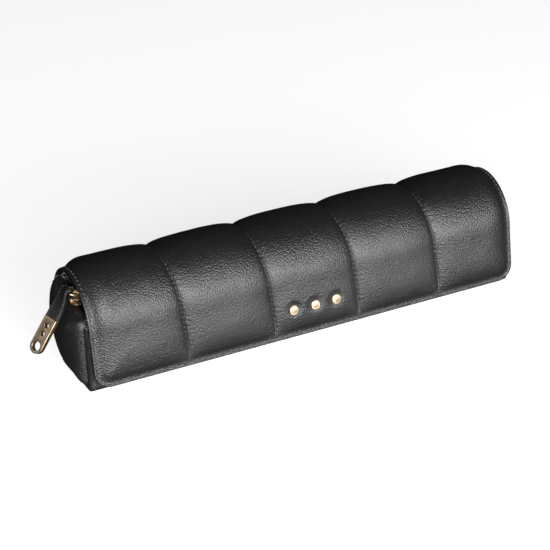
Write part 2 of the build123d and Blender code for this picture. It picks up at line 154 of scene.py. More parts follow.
class Link:
    # wraps a socket, so that Python operators add the maths nodes
    def __init__(self, tree, socket):
        self.tree = tree
        self.socket = socket

    def maths(self, operation, first, second, third=None):
        node = self.tree.nodes.new("ShaderNodeMath")
        node.operation = operation
        for place, value in enumerate((first, second, third)):
            if isinstance(value, Link):
                self.tree.links.new(value.socket, node.inputs[place])
            elif value is not None:
                node.inputs[place].default_value = value
        return Link(self.tree, node.outputs[0])

    def __add__(self, other): return self.maths("ADD", self, other)
    def __radd__(self, other): return self.maths("ADD", other, self)
    def __sub__(self, other): return self.maths("SUBTRACT", self, other)
    def __rsub__(self, other): return self.maths("SUBTRACT", other, self)
    def __mul__(self, other): return self.maths("MULTIPLY", self, other)
    def __rmul__(self, other): return self.maths("MULTIPLY", other, self)
    def __truediv__(self, other): return self.maths("DIVIDE", self, other)
    def __rtruediv__(self, other): return self.maths("DIVIDE", other, self)
    def __pow__(self, other): return self.maths("POWER", self, other)
    def wave(self): return self.maths("SINE", self, 0.0)
    def between(self, low, high): return self.maths("MINIMUM", self.maths("MAXIMUM", self, low), high)


class Finish:
    def __init__(self, name, **sockets):
        self.material = bpy.data.materials.new(name)
        self.material.use_nodes = True
        self.tree = self.material.node_tree
        self.tree.nodes.clear()
        self.shader = self.tree.nodes.new("ShaderNodeBsdfPrincipled")
        output = self.tree.nodes.new("ShaderNodeOutputMaterial")
        self.tree.links.new(self.shader.outputs[0], output.inputs[0])
        for socket, value in sockets.items():
            self.shader.inputs[socket.replace("_", " ")].default_value = value
        self.place = self.add("ShaderNodeTexCoord", {}, {}, "Object")

    def add(self, kind, settings, sockets, output=0):
        node = self.tree.nodes.new(kind)
        for key, value in settings.items():
            if key == "stops":
                ramp = node.color_ramp
                while len(ramp.elements) < len(value):
                    ramp.elements.new(0.5)
                for element, (position, colour) in zip(ramp.elements, value):
                    element.position = position
                    element.color = (*colour, 1)
            else:
                setattr(node, key, value)
        for key, value in sockets.items():
            if isinstance(value, Link):
                self.tree.links.new(value.socket, node.inputs[key])
            else:
                node.inputs[key].default_value = value
        return Link(self.tree, node.outputs[output])

    def feed(self, socket, link):
        self.tree.links.new(link.socket, self.shader.inputs[socket])

    def noise(self, scale, detail=3.0, roughness=0.5, place=None):
        sockets = {"Vector": place or self.place, "Scale": scale, "Detail": detail, "Roughness": roughness}
        return self.add("ShaderNodeTexNoise", {}, sockets, 0)

    def cells(self, scale):
        return self.add("ShaderNodeTexVoronoi", {}, {"Vector": self.place, "Scale": scale}, "Distance")

    def ramp(self, value, stops):
        return self.add("ShaderNodeValToRGB", {"stops": stops}, {"Fac": value}, 0)

    def mixed(self, factor, first, second):
        sockets = {"Factor": factor, 6: first, 7: second}
        return self.add("ShaderNodeMix", {"data_type": "RGBA"}, sockets, 2)

    def bump(self, height, distance, strength=1.0):
        sockets = {"Height": height, "Distance": distance * mm, "Strength": strength}
        self.feed("Normal", self.add("ShaderNodeBump", {}, sockets, 0))

    def axis(self, name):
        return self.add("ShaderNodeSeparateXYZ", {}, {"Vector": self.place}, name)


def grey(level):
    return (level, level, level * 1.02)


def pebbledLeather(name, settings):
    finish = Finish(name, Specular_IOR_Level=settings["specular"], Coat_Roughness=settings["coatRoughness"])
    drift = finish.noise(160, 2.0)
    pebble = finish.cells(1000 / settings["pebble"])
    finer = finish.cells(1000 / (settings["pebble"] * 0.61))
    pores = finish.noise(5200, 2.0)
    tone = finish.noise(16, 3.0)
    height = (1 - pebble ** 1.6) * (0.9 + drift * 0.1) + (1 - finer ** 2.0) * 0.3 + pores * 0.12
    finish.bump(height, settings["relief"], settings["strength"])
    shade = (tone * 0.7 + pebble * 0.35).between(0.0, 1.0)
    finish.feed("Base Color", finish.ramp(shade, [(0.2, settings["dark"]), (0.8, settings["light"])]))
    rough = settings["roughness"] + (drift - 0.5) * 0.14 + pebble * 0.12
    finish.feed("Roughness", rough.between(0.2, 0.9))
    finish.feed("Coat Weight", (tone * settings["coat"]).between(0.0, 1.0))
    return finish.material


def smoothLeatherEdge(name):
    finish = Finish(name, Specular_IOR_Level=0.5)
    rub = finish.noise(160, 4.0)
    finish.feed("Base Color", finish.ramp(rub, [(0.3, (0.008, 0.008, 0.008)), (0.75, (0.022, 0.021, 0.02))]))
    finish.feed("Roughness", 0.3 + rub * 0.25)
    finish.bump(finish.noise(900, 3.0), 0.05, 0.5)
    return finish.material


def twistedThread(name, dark, light):
    finish = Finish(name, Specular_IOR_Level=0.35)
    x, y, z = finish.axis("X"), finish.axis("Y"), finish.axis("Z")
    twist = ((x + y * 0.6 + z * 0.9) * 9000).wave() * 0.5 + 0.5
    finish.feed("Base Color", finish.ramp(twist, [(0.1, dark), (0.9, light)]))
    finish.feed("Roughness", 0.5 + finish.noise(700) * 0.25)
    finish.bump(twist, 0.12, 0.7)
    return finish.material


def napSuede(name, dark, light):
    finish = Finish(name, Specular_IOR_Level=0.12, Sheen_Weight=0.25, Sheen_Roughness=0.5)
    nap = finish.noise(2600, 4.0, 0.7)
    brushed = finish.noise(60, 4.0, 0.6)
    finish.feed("Base Color", finish.ramp(brushed * 0.6 + nap * 0.4, [(0.3, dark), (0.7, light)]))
    finish.feed("Roughness", 0.86 + nap * 0.12)
    finish.bump(nap + brushed * 0.6, 0.18, 0.6)
    return finish.material


def satinMetal(name, dark, light, roughness):
    finish = Finish(name, Metallic=1.0)
    haze = finish.noise(240, 4.0)
    sockets = {0: finish.place, 1: (1, 1, 0.08)}
    stretched = finish.add("ShaderNodeVectorMath", {"operation": "MULTIPLY"}, sockets, 0)
    lines = finish.noise(9000, 2.0, 0.5, stretched)
    finish.feed("Base Color", finish.ramp(haze, [(0.25, dark), (0.75, light)]))
    finish.feed("Roughness", roughness + (haze - 0.5) * 0.14 + lines * 0.06)
    finish.bump(lines, 0.02, 0.25)
    return finish.material


def wovenTape(name):
    finish = Finish(name, Specular_IOR_Level=0.2, Sheen_Weight=0.15)
    x, y = finish.axis("X"), finish.axis("Y")
    ribs = (x * 2 * pi / 0.0007).wave()
    picks = (y * 2 * pi / 0.0009).wave()
    weave = ribs * picks * 0.5 + 0.5
    wear = finish.noise(300)
    tone = weave * 0.7 + wear * 0.3
    finish.feed("Base Color", finish.ramp(tone, [(0.2, grey(0.008)), (0.8, grey(0.035))]))
    finish.feed("Roughness", 0.7 + wear * 0.2)
    finish.bump(weave, 0.12, 0.8)
    return finish.material


def grainy(name, dark, light, scale, roughness, relief):
    finish = Finish(name, Specular_IOR_Level=0.25)
    grain = finish.noise(scale, 5.0, 0.65)
    cells = finish.cells(scale * 1.7)
    finish.feed("Base Color", finish.ramp(grain, [(0.3, dark), (0.7, light)]))
    finish.feed("Roughness", roughness + (grain - 0.5) * 0.15)
    finish.bump(grain + cells * 0.5, relief, 0.7)
    return finish.material


leather = {
    "pebble": 0.95, "relief": 0.3, "strength": 1.0, "roughness": 0.34, "specular": 0.5,
    "coat": 0.15, "coatRoughness": 0.3, "dark": grey(0.003), "light": grey(0.008),
}
finishes = {
    "leather": pebbledLeather("blackPebbledLeather", leather),
    "strapLeather": pebbledLeather("strapLeather", {**leather, "pebble": 0.75, "relief": 0.2}),
    "edge": smoothLeatherEdge("leatherEdgePaint"),
    "thread": twistedThread("blackThread", grey(0.015), grey(0.085)),
    "suede": napSuede("charcoalSuede", (0.030, 0.027, 0.025), (0.062, 0.057, 0.052)),
    "gold": satinMetal("paleGoldMetal", (0.52, 0.39, 0.25), (0.70, 0.56, 0.38), 0.3),
    "steel": satinMetal("hiddenSteel", grey(0.42), grey(0.62), 0.38),
    "tape": wovenTape("zipTapeWeave"),
    "board": grainy("greyBoard", (0.20, 0.18, 0.16), (0.34, 0.32, 0.29), 900, 0.85, 0.08),
}
print("finishes made")


# camera, lights and floor

view = {
    "place": (-450.8, -912.3, 549.0), "azimuth": -25.8, "elevation": 27.0, "roll": -2.06, "lens": 118.4,
}
stage = {
    "floorSize": 14.0, "floorTone": 0.4, "floorBounce": 0.045, "floorGlow": 0.8,
    "world": (0.96, 0.97, 1.0), "worldStrength": 0.03,
}
lamps = [  # name, place in metres, width, depth, watts
    ("keyLamp", (-0.55, -1.45, 0.56), 1.5, 0.5, 46.0),
    ("lowLamp", (0.2, -1.4, 0.26), 1.5, 0.4, 40.0),
    ("leftLamp", (-1.5, 0.3, 0.75), 0.7, 0.6, 1.0),
]


def makeCamera():
    data = bpy.data.cameras.new("camera")
    data.sensor_width = 36.0
    data.lens = view["lens"]
    data.clip_end = 50.0
    camera = bpy.data.objects.new("camera", data)
    bpy.context.scene.collection.objects.link(camera)
    turn, lift = radians(view["azimuth"]), radians(view["elevation"])
    back = Vector((sin(turn) * cos(lift), -cos(turn) * cos(lift), sin(lift)))
    right = Vector((0, 0, 1)).cross(back).normalized()
    up = back.cross(right)
    roll = radians(view["roll"])
    tiltedRight = right * cos(roll) + up * sin(roll)
    tiltedUp = up * cos(roll) - right * sin(roll)
    pose = Matrix((tiltedRight, tiltedUp, back)).transposed().to_4x4()
    camera.matrix_world = Matrix.Translation(Vector(view["place"]) * mm) @ pose
    bpy.context.scene.camera = camera


def makeStage():
    world = bpy.data.worlds.new("studio")
    world.use_nodes = True
    sky = world.node_tree.nodes["Background"]
    sky.inputs["Color"].default_value = (*stage["world"], 1)
    sky.inputs["Strength"].default_value = stage["worldStrength"]
    bpy.context.scene.world = world
    bpy.context.scene.view_settings.view_transform = "Standard"
    for name, place, width, depth, power in lamps:
        data = bpy.data.lights.new(name, "AREA")
        data.shape = "RECTANGLE"
        data.size = width
        data.size_y = depth
        data.energy = power
        lamp = bpy.data.objects.new(name, data)
        lamp.location = place
        aim = Vector((0, 0, 0.03)) - Vector(place)
        lamp.rotation_euler = aim.to_track_quat("-Z", "Y").to_euler()
        bpy.context.scene.collection.objects.link(lamp)
    nothingPicked()
    bpy.ops.mesh.primitive_plane_add(size=stage["floorSize"])
    floor = named("studioFloor")
    finish = Finish("paleFloor", Specular_IOR_Level=0.3)
    cloud = finish.noise(1.5)
    tone = stage["floorTone"]
    # white to the camera, but dark to the light that bounces back up onto the black leather
    seen = finish.add("ShaderNodeLightPath", {}, {}, "Is Camera Ray")
    paper = finish.ramp(cloud, [(0.2, grey(tone - 0.01)), (0.8, grey(tone))])
    finish.feed("Base Color", finish.mixed(seen, (*grey(stage["floorBounce"]), 1), paper))
    finish.feed("Roughness", 0.42 + cloud * 0.1)
    finish.feed("Emission Color", finish.mixed(seen, (0, 0, 0, 1), (1, 1, 1, 1)))
    finish.shader.inputs["Emission Strength"].default_value = stage["floorGlow"]
    floor.data.materials.append(finish.material)


makeCamera()
makeStage()
print("camera and studio ready")


# tracks: lines and arcs in the YZ plane that a skin follows

class Track:
    step = 0.25

    def __init__(self, outSide):
        self.points = []
        self.outSide = outSide

    def line(self, start, end):
        steps = max(2, int(np.hypot(end[0] - start[0], end[1] - start[1]) / self.step))
        ratio = np.linspace(0, 1, steps + 1)[:, None]
        self.points.extend(np.array(start) * (1 - ratio) + np.array(end) * ratio)

    def arc(self, centre, radius, start, end):
        steps = max(2, int(abs(radians(end - start)) * radius / self.step))
        angles = np.radians(np.linspace(start, end, steps + 1))
        y = centre[0] + radius * np.cos(angles)
        z = centre[1] + radius * np.sin(angles)
        self.points.extend(np.stack([y, z], 1))

    def ready(self, soften):
        raw = np.array(self.points)
        steps = np.hypot(*np.diff(raw, axis=0).T)
        raw = raw[np.concatenate([[True], steps > 1e-4])]
        run = np.concatenate([[0], np.cumsum(np.hypot(*np.diff(raw, axis=0).T))])
        even = np.arange(0, run[-1], self.step)
        even = np.append(even, run[-1])
        line = np.stack([np.interp(even, run, raw[:, 0]), np.interp(even, run, raw[:, 1])], 1)
        reach = int(soften / self.step / 2)
        if reach:
            # a moving average rounds the corners, and mirrored ends keep the track's length
            first = 2 * line[0] - line[reach:0:-1]
            last = 2 * line[-1] - line[-2:-reach - 2:-1]
            longer = np.concatenate([first, line, last])
            kernel = np.ones(2 * reach + 1) / (2 * reach + 1)
            line = np.stack([np.convolve(longer[:, k], kernel, "valid") for k in (0, 1)], 1)
        self.run = np.concatenate([[0], np.cumsum(np.hypot(*np.diff(line, axis=0).T))])
        self.line2d = line
        slope = np.gradient(line, self.run, axis=0)
        slope /= np.linalg.norm(slope, axis=1)[:, None]
        self.out = self.outSide * np.stack([slope[:, 1], -slope[:, 0]], 1)
        self.length = self.run[-1]
        return self

    def at(self, run, lift=0.0):
        y = np.interp(run, self.run, self.line2d[:, 0]) + lift * np.interp(run, self.run, self.out[:, 0])
        z = np.interp(run, self.run, self.line2d[:, 1]) + lift * np.interp(run, self.run, self.out[:, 1])
        return y, z

    def outs(self, run):
        y, z = np.subtract(self.at(run, 1.0), self.at(run, 0.0))
        return np.stack([np.zeros(len(run)), y, z], 1)


def onTop(angle, depth=0.0):
    reach = case["topRadius"] - depth
    return (reach * cos(radians(angle)), case["topZ"] + reach * sin(radians(angle)))


def zipPoint(across, up=0.0):
    c, s = cos(radians(case["zipTilt"])), sin(radians(case["zipTilt"]))
    return (case["zipY"] + across * c - up * s, case["zipZ"] + across * s + up * c)


def stations(low, high, step, rim):
    # even places between two ends, with closer ones that round the edge
    close = rim * np.array([0.0, 0.08, 0.3, 0.62, 1.0])
    count = max(2, int(round((high - low - 2 * rim) / step)))
    middle = np.linspace(low + rim, high - rim, count + 1)
    return np.concatenate([low + close[:-1], middle, (high - close[:-1])[::-1]])


def squareStart(places):
    # the first end of a skin is hidden under its neighbour, and isn't rounded
    return np.concatenate([[0], places[4:]])


def rolled(distance, radius):
    # how far a surface drops close to its edge
    inside = np.clip(radius - distance, 0, radius)
    return radius - np.sqrt(np.maximum(radius ** 2 - inside ** 2, 0))


def sheetOver(name, across, along, surface, thickness, flip=False):
    nothingPicked()
    bpy.ops.mesh.primitive_grid_add(x_subdivisions=len(across) - 1, y_subdivisions=len(along) - 1, size=2)
    piece = named(name)
    spots = readPoints(piece)
    column = np.rint((spots[:, 0] + 1) / 2 * (len(across) - 1)).astype(int)
    row = np.rint((spots[:, 1] + 1) / 2 * (len(along) - 1)).astype(int)
    writePoints(piece, surface(np.asarray(across)[column], np.asarray(along)[row]) * mm)
    if flip:
        edited(piece, (bpy.ops.mesh.flip_normals, {}))
    if thickness:
        modified(piece, "SOLIDIFY", thickness=thickness * mm, offset=-1)
    return smoothed(piece, 50)


# thread: one slanted stitch, copied along a line

thread = {  # length, thickness and slant of each row's stitches
    "border": (2.3, 0.8, 20), "seam": (2.2, 0.75, 10), "back": (2.4, 0.55, 12),
    "facing": (2.2, 0.5, 10), "strap": (1.6, 0.42, 12),
}


def stitchLine(name, spots, headings, outs, row):
    long, thick, slant = thread[row]
    nothingPicked()
    bpy.ops.mesh.primitive_uv_sphere_add(segments=6, ring_count=5, radius=0.5)
    base = named(name)
    shape = readPoints(base)
    shape = np.stack([shape[:, 2] * long, shape[:, 0] * thick, shape[:, 1] * thick], 1)
    faces = [tuple(face.vertices) for face in base.data.polygons]
    bpy.data.objects.remove(base)
    spots, headings, outs = (np.asarray(value, float) for value in (spots, headings, outs))
    points, sides = [], []
    for spot, heading, out in zip(spots, headings, outs):
        heading = heading / np.linalg.norm(heading)
        out = out - heading * (out @ heading)
        out = out / np.linalg.norm(out)
        across = np.cross(out, heading)
        turned = heading * cos(radians(slant)) + across * sin(radians(slant))
        beside = np.cross(out, turned)
        start = len(points) * len(shape)
        points.append(spot + shape[:, :1] * turned + shape[:, 1:2] * beside + shape[:, 2:] * out)
        sides.extend(tuple(corner + start for corner in face) for face in faces)
    mesh = bpy.data.meshes.new(name)
    mesh.from_pydata((np.concatenate(points) * mm).tolist(), [], sides)
    mesh.update()
    piece = bpy.data.objects.new(name, mesh)
    bpy.context.scene.collection.objects.link(piece)
    facingOut(piece)
    return smoothed(piece, 80)


# quilting: five soft channels with sewn seams between them

quilt = {
    "channel": 58.4, "border": 4.5, "seamHeight": 1.0, "crest": 4.0, "endRoll": 10.0, "lowRoll": 19.0,
    "squareness": 3.1, "swell": 0.72, "stitchPitch": 3.3, "pucker": 0.45, "puckerReach": 2.8,
    "groove": 0.5, "grooveReach": 0.8, "borderGroove": 0.3, "slowWrinkle": 0.1, "fineWrinkle": 0.03,
    "closeSteps": (-1.4, -0.8, -0.35, 0, 0.35, 0.8, 1.4), "closeReach": 1.9, "taper": 0.7,
}
seamPlaces = [quilt["channel"] * (number - 1.5) for number in range(4)]


def eased(value):
    value = np.clip(value, 0, 1)
    return value * value * (3 - 2 * value)


def channelSwell(x):
    # 0 in a seam and 1 over a channel's crest; the outer channels stay full towards the border
    place = (x + 2.5 * quilt["channel"]) / quilt["channel"]
    number = np.clip(np.floor(place), 0, 4)
    across = np.clip(2 * (place - number) - 1, -1, 1)
    outer = ((number == 0) & (across < 0)) | ((number == 4) & (across > 0))
    across = np.where(outer, 0, np.abs(across))
    return (1 - across ** quilt["squareness"]) ** quilt["swell"]


def creasing(x, run):
    # slow, uneven wrinkles of soft leather
    slowAcross = np.sin(x * 0.131 + 1.3 * np.sin(run * 0.071))
    slowAlong = np.sin(run * 0.117 + 0.8 * np.sin(x * 0.043 + 1.0))
    fineAcross = np.sin(x * 0.37 + run * 0.21 + 2.0 * np.sin(run * 0.05))
    fineAlong = np.sin(run * 0.33 - x * 0.11)
    return quilt["slowWrinkle"] * (slowAcross * slowAlong) + quilt["fineWrinkle"] * (fineAcross * fineAlong)


def pucker(x, run):
    nearest = np.min([np.abs(x - seam) for seam in seamPlaces], axis=0)
    pull = np.exp(-(nearest / quilt["puckerReach"]) ** 2)
    sewn = np.exp(-(nearest / quilt["grooveReach"]) ** 2)
    stitched = 0.5 + 0.5 * np.cos(2 * pi * run / quilt["stitchPitch"])
    return -quilt["pucker"] * pull * stitched - quilt["groove"] * sewn


def quiltHeight(x, run, toBorder, endRoll):
    roll = np.clip((toBorder - quilt["border"]) / endRoll, 0, 1)
    taper = (1 - (1 - roll) ** 2) ** quilt["taper"]
    swell = quilt["seamHeight"] + (quilt["crest"] - quilt["seamHeight"]) * channelSwell(x)
    border = quilt["borderGroove"] * np.exp(-((toBorder - flap["stitchInset"]) / quilt["grooveReach"]) ** 2)
    return (swell + creasing(x, run) + pucker(x, run)) * taper - border


# flap: from the spine's middle over the top and down the front

flap = {
    "lowerZ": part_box("flap_leather")[0].z / mm, "lean": 4.0, "cornerRadius": 10.5,
    "thickness": 2.9, "liningDepth": 2.7, "liningThickness": 0.45, "liningInset": 3.5,
    "driftTop": -2.0, "driftLow": 2.5, "driftFrom": 35.0, "driftTo": 120.0,
    "fadeFrom": 44.0, "fadeTo": 60.0, "spineSwell": 0.16, "rim": 0.9,
    "stitchInset": 2.3, "blendBefore": 0.5, "blendAfter": 7.5, "rollFrom": 55.0, "rollOver": 35.0,
    "meshAcross": 1.4, "meshAlong": 1.1, "liningAcross": 4.0, "liningAlong": 1.6, "liningRim": 0.3,
    "routeStep": 0.5, "followInset": 5.0, "followReach": 20.0,
}
studs = {
    "pitch": 14.8, "z": 25.0, "radius": 3.0, "height": 1.5, "seat": (3.0, 3.35, 3.0), "dimple": 4.0,
    "sink": 0.35, "clear": 0.2, "bevel": 0.28, "rings": ((0.75, -0.16), (0.3, 0.08)),
}
frontY = -case["topRadius"]
flapTrack = Track(1)
flapTrack.arc((0, case["topZ"]), case["topRadius"], case["joinAngle"], 180)
flapTrack.line((frontY, case["topZ"]), (frontY - flap["lean"], flap["lowerZ"]))
flapTrack.ready(6.0)


def runAtAngle(angle):
    return radians(angle - case["joinAngle"]) * case["topRadius"]


def outlineDistance(x, run):
    # how far a place is inside the flap's outline, with its round lower corners
    side = case["half"] - np.abs(x)
    low = flapTrack.length - run
    r = flap["cornerRadius"]
    inCorner = (side < r) & (low < r)
    fromArc = r - np.hypot(r - side, r - low)
    return np.where(inCorner, fromArc, np.minimum(side, low))


def studDimple(x, run, height):
    runZ = flapTrack.length - (studs["z"] - flap["lowerZ"])
    for number, seat in enumerate(studs["seat"]):
        reach = np.hypot(x - (number - 1) * studs["pitch"], run - runZ)
        near = eased(1 - (reach - studs["radius"] - studs["clear"]) / studs["dimple"])
        height = height * (1 - near) + (seat - studs["sink"] * near) * near
    return height


def seamDrift(run):
    # the hand-set seams wander a little along the front
    share = eased((run - flap["driftFrom"]) / (flap["driftTo"] - flap["driftFrom"]))
    return flap["driftTop"] + (flap["driftLow"] - flap["driftTop"]) * share


def flapHeight(x, run):
    edge = outlineDistance(x, run)
    low = eased((flap["rollFrom"] - (flapTrack.length - run)) / flap["rollOver"])
    endRoll = quilt["endRoll"] + (quilt["lowRoll"] - quilt["endRoll"]) * low
    height = quiltHeight(x - seamDrift(run), run, edge, endRoll)
    start, end = runAtAngle(flap["fadeFrom"]), runAtAngle(flap["fadeTo"])
    fade = flap["spineSwell"] + (1 - flap["spineSwell"]) * eased((run - start) / (end - start))
    return studDimple(x, run, height * fade) - rolled(np.maximum(edge, 0), flap["rim"])


def flapPoint(x, run, lift=0.0):
    y, z = flapTrack.at(run, flapHeight(x, run) + lift)
    return np.stack([x, y, z], -1)


def followed(x, run):
    # the columns follow the seams, and the outer ones draw in where the lower corners are round
    inside = np.clip((case["half"] - flap["followInset"] - np.abs(x)) / flap["followReach"], 0, 1)
    return cornered(x + seamDrift(run) * inside, run)


def seamStations(half, step, rim):
    # even columns, with closer ones beside each seam and the border's stitching
    places = set(np.round(stations(-half, half, step, rim), 3))
    lines = [*seamPlaces, flap["stitchInset"] - half, half - flap["stitchInset"]]
    for line in lines:
        places = {place for place in places
                  if abs(place - line) > quilt["closeReach"] or half - abs(place) < rim}
        places |= {round(line + offset, 3) for offset in quilt["closeSteps"]}
    return np.array(sorted(places))


def cornered(x, run):
    r = flap["cornerRadius"]
    low = np.clip(r - (flapTrack.length - run), 0, r)
    half = case["half"] - (r - np.sqrt(np.maximum(r ** 2 - low ** 2, 0)))
    inner = case["half"] - r - 3
    over = np.clip((np.abs(x) - inner) / (case["half"] - inner), 0, 1)
    return np.sign(x) * np.where(np.abs(x) > inner, inner + over * (half - inner), np.abs(x))


def acrossCrease(pivot, line, before, after):
    # where a blend starts and ends, on a line through the crease
    return tuple(pivot - line * before * mm), tuple(pivot + line * after * mm)


# the whole flap lies past its crease along this line
flapLine = Vector((0, -0.85, 0.53)).normalized()
flapPivot = Vector((0, *onTop(case["flapCrease"]))) * mm
flapBend = ("rear_lid", "flap", *acrossCrease(flapPivot, flapLine, flap["blendBefore"], flap["blendAfter"]))


def makeFlap():
    across = seamStations(case["half"], flap["meshAcross"], flap["rim"])
    along = squareStart(stations(0, flapTrack.length, flap["meshAlong"], flap["rim"]))

    def skinPoint(x, run):
        return flapPoint(followed(x, run), run)

    skin = sheetOver("flapSkin", across, along, skinPoint, flap["thickness"], True)
    pads = [f"flap_pad_{number}" for number in range(1, 6)]
    finished(skin, finishes["leather"], stands=["flap_leather", *pads],
             blend=flapBend)

    inset = flap["liningInset"]
    liningHalf = case["half"] - inset
    across = stations(-liningHalf, liningHalf, flap["liningAcross"], flap["liningRim"])
    startRun = runAtAngle(case["lidCrease"] + 2)
    along = stations(startRun, flapTrack.length - inset, flap["liningAlong"], flap["liningRim"])

    def liningPoint(x, run):
        y, z = flapTrack.at(run, -flap["liningDepth"])
        return np.stack([cornered(x, run), y, z], -1)

    lining = sheetOver("flapLiningSkin", across, along, liningPoint, flap["liningThickness"], True)
    finished(lining, finishes["suede"], stands=["flap_lining"], blend=flapBend)


def borderRoute(inset, start):
    # a line that follows the flap's outline at a distance inside it
    half = case["half"] - inset
    r = flap["cornerRadius"] - inset
    low = flapTrack.length - inset
    step = flap["routeStep"]
    left = [(-half, run) for run in np.arange(start, low - r, step)]
    turn = [(-half + r - r * cos(a), low - r + r * sin(a)) for a in np.linspace(0, pi / 2, 14)]
    bottom = [(x, low) for x in np.arange(-half + r, half - r, step)]
    right = [(-x, run) for x, run in (left + turn)[::-1]]
    return np.array(left + turn + bottom + right)


def stitchRoute(name, route, lift, row):
    # stitches at even steps along a route of (x, run) places on the flap
    pitch = quilt["stitchPitch"]
    points = flapPoint(route[:, 0], route[:, 1], lift)
    run = np.concatenate([[0], np.cumsum(np.linalg.norm(np.diff(points, axis=0), axis=1))])
    places = np.arange(pitch / 2, run[-1], pitch)
    spots = np.stack([np.interp(places, run, points[:, k]) for k in range(3)], 1)
    ahead = np.stack([np.interp(places + 0.4, run, points[:, k]) for k in range(3)], 1)
    behind = np.stack([np.interp(places - 0.4, run, points[:, k]) for k in range(3)], 1)
    along = np.interp(places, run, route[:, 1])
    return stitchLine(name, spots, ahead - behind, flapTrack.outs(along), row)


def makeFlapStitches():
    start = runAtAngle(case["flapCrease"] + 5)
    border = stitchRoute("flapBorderStitches", borderRoute(flap["stitchInset"], start), 0.15, "border")
    finished(border, finishes["thread"], blend=flapBend)
    end = flapTrack.length - quilt["border"]
    rows = []
    for number, seam in enumerate(seamPlaces):
        runs = np.arange(start, end, flap["routeStep"])
        route = np.stack([seam + seamDrift(runs), runs], 1)
        rows.append(stitchRoute(f"seam{number}", route, 0.05, "seam"))
    seams = joined(rows, "flapSeamStitches")
    finished(seams, finishes["thread"], blend=flapBend)


def makeStuds():
    heads = []
    runZ = flapTrack.length - (studs["z"] - flap["lowerZ"])
    for number, seat in enumerate(studs["seat"]):
        x = (number - 1) * studs["pitch"]
        y, z = (float(value) for value in flapTrack.at(runZ, seat - studs["sink"]))
        radius, tall = studs["radius"] * mm, studs["height"] * mm
        middle = (x * mm, y * mm - tall / 2, z * mm)
        nothingPicked()
        bpy.ops.mesh.primitive_cylinder_add(vertices=48, radius=radius, depth=tall, location=middle,
                                            rotation=(pi / 2, 0, 0))
        head = settled(named(f"stud{number}"))
        front = min(point.co.y for point in head.data.vertices)
        pickOnly(head)
        bpy.ops.object.mode_set(mode="EDIT")
        bpy.ops.mesh.select_all(action="DESELECT")
        bpy.ops.object.mode_set(mode="OBJECT")
        for face in head.data.polygons:
            face.select = face.normal.y < -0.9 and face.center.y < front + 0.1 * mm
        bpy.ops.object.mode_set(mode="EDIT")
        bpy.ops.mesh.select_mode(type="FACE")
        for inset, depth in studs["rings"]:
            bpy.ops.mesh.inset(thickness=inset * mm, depth=depth * mm)
        bpy.ops.object.mode_set(mode="OBJECT")
        modified(head, "BEVEL", width=studs["bevel"] * mm, segments=3, limit_method="ANGLE",
                 angle_limit=radians(35))
        seated = Matrix.Translation(Vector((x, y, z)) * mm)
        tilt = Matrix.Rotation(-atan2(flap["lean"], case["topZ"] - flap["lowerZ"]), 4, "X")
        head.data.transform(seated @ tilt @ seated.inverted())
        heads.append(head)
    caps = smoothed(joined(heads, "flapStuds"), 40)
    finished(caps, finishes["gold"], "flap", ["flap_studs"])


makeFlap()
makeFlapStitches()
makeStuds()
print("flap made")


# back, bottom and front wall in one skin

back = {
    "thickness": 1.3, "sweep": 50.0, "fadeAngle": 9.0, "blendReach": 4.2, "rim": 0.6,
    "rimDepth": (0.7, 3.75), "rimBulge": 0.35, "rimThickness": 0.6, "rimStitch": 2.2,
    "meshAcross": 1.5, "meshAlong": 1.4,
}
bottomY = case["backY"] + sqrt(case["backRadius"] ** 2 - case["backZ"] ** 2)
bottomTurn = -atan2(case["backZ"], bottomY - case["backY"]) * 180 / pi
backTrack = Track(-1)
backTrack.arc((0, case["topZ"]), case["topRadius"], case["joinAngle"], 0)
backTrack.line((case["topRadius"], case["topZ"]), (case["topRadius"], case["backZ"]))
backTrack.arc((case["backY"], case["backZ"]), case["backRadius"], 0, bottomTurn)
cornerY = case["frontY"] + case["frontCorner"]
backTrack.line((bottomY, 0), (cornerY, 0))
backTrack.arc((cornerY, case["frontCorner"]), case["frontCorner"], 270, 180)
backTrack.line((case["frontY"], case["frontCorner"]), (case["frontY"], case["frontTop"]))
backTrack.ready(3.0)
quiltStart = radians(case["joinAngle"]) * case["topRadius"] + 3
quiltEnd = quiltStart + radians(back["sweep"]) * case["backRadius"]


def backHeight(x, run):
    side = case["half"] - np.abs(x)
    reach = radians(back["fadeAngle"]) * case["backRadius"]
    fade = flap["spineSwell"] + (1 - flap["spineSwell"]) * eased((run - quiltStart + reach) / reach)
    fade = fade * eased((quiltEnd - run) / reach)
    return quiltHeight(x - flap["driftTop"], run, side, quilt["endRoll"]) * fade - rolled(side, back["rim"])


def backPoint(x, run, lift=0.0):
    y, z = backTrack.at(run, backHeight(x, run) + lift)
    return np.stack([x, y, z], -1)


lidPivot = Vector((0, *onTop(case["lidCrease"]))) * mm
upAndBack = Vector((0, 0.35, 0.94)).normalized()
lidBend = ("case_base", "rear_lid",
           *acrossCrease(lidPivot, upAndBack, back["blendReach"], back["blendReach"]))


